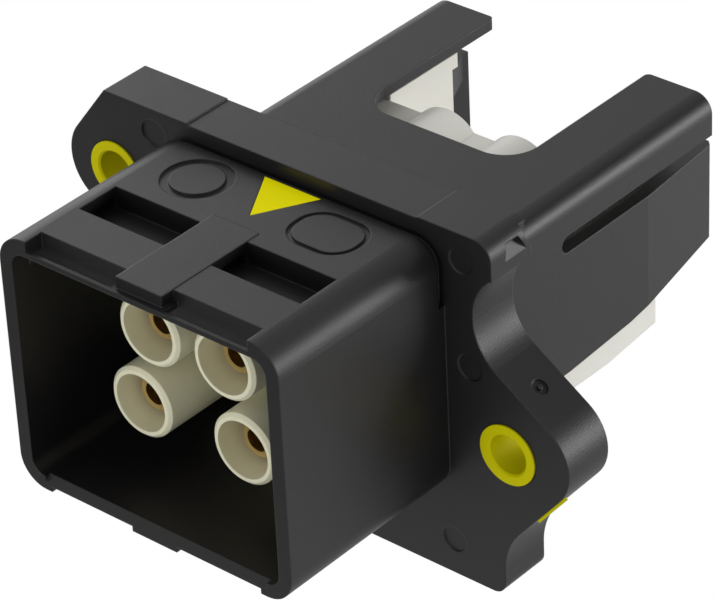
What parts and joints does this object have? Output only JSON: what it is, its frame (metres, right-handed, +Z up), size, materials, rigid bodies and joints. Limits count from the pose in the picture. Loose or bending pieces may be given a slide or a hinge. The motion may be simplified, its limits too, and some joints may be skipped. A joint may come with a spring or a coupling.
{
  "type": "rectangular power connector",
  "caption": "Black rectangular panel connector with a shrouded mouth, socket contacts in round towers, a flange with yellow screw sleeves and an open rear cage.",
  "frame": {"origin": "on the mating axis, in the front face of the flange, halfway between the two screw sleeves", "axes": "+X to the right seen from the mating side, -Y towards the mating plug, +Z up"},
  "size_m": [0.0634, 0.0673, 0.0401],
  "materials": {
    "black_plastic": "fine satin moulded black plastic",
    "pebble_plastic": "smooth pebble grey plastic",
    "white_plastic": "smooth off-white plastic",
    "gold_plate": "gold-plated turned brass",
    "yellow_plastic": "satin yellow plastic",
    "seal_rubber": "plain seal rubber"
  },
  "bodies": {
    "root": {"housing": "black_plastic", "contact_insert": "pebble_plastic", "contact_retainer": "white_plastic", "carrier": "white_plastic", "contact_top_left": "gold_plate", "contact_top_right": "gold_plate", "contact_bottom_left": "gold_plate", "contact_bottom_right": "gold_plate", "sleeve_left": "yellow_plastic", "sleeve_right": "yellow_plastic", "marker": "yellow_plastic", "panel_seal": "seal_rubber"}
  },
  "joints": []
}
